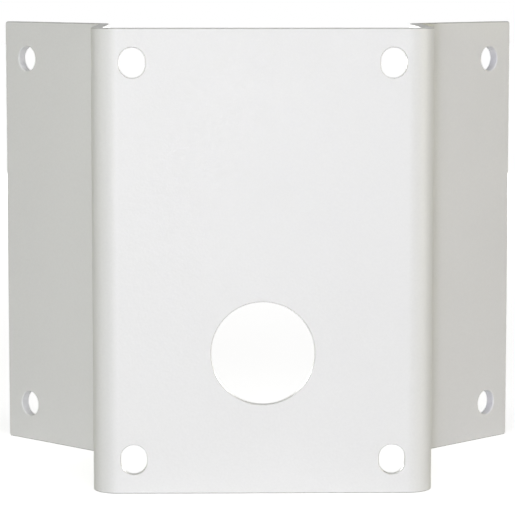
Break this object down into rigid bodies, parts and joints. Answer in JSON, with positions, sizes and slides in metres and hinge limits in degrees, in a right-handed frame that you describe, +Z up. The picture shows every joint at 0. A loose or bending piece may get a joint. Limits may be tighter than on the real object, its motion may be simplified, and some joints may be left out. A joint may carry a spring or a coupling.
{
  "type": "camera corner bracket",
  "caption": "Folded steel bracket that fits round a building's outside corner and carries a wall camera's arm on its front plate, with bolt slots, a cable hole and wall-bolt holes.",
  "frame": {"origin": "middle of the bracket's box, level with its bottom edges", "axes": "+X to the viewer's right across the plate, +Y backwards from the plate towards the wall, +Z up"},
  "size_m": [0.2164, 0.131, 0.18],
  "materials": {
    "coated_steel": "fine-grained matt powder coat in pale grey-white"
  },
  "bodies": {
    "root": {"corner_bracket": "coated_steel"}
  },
  "joints": []
}
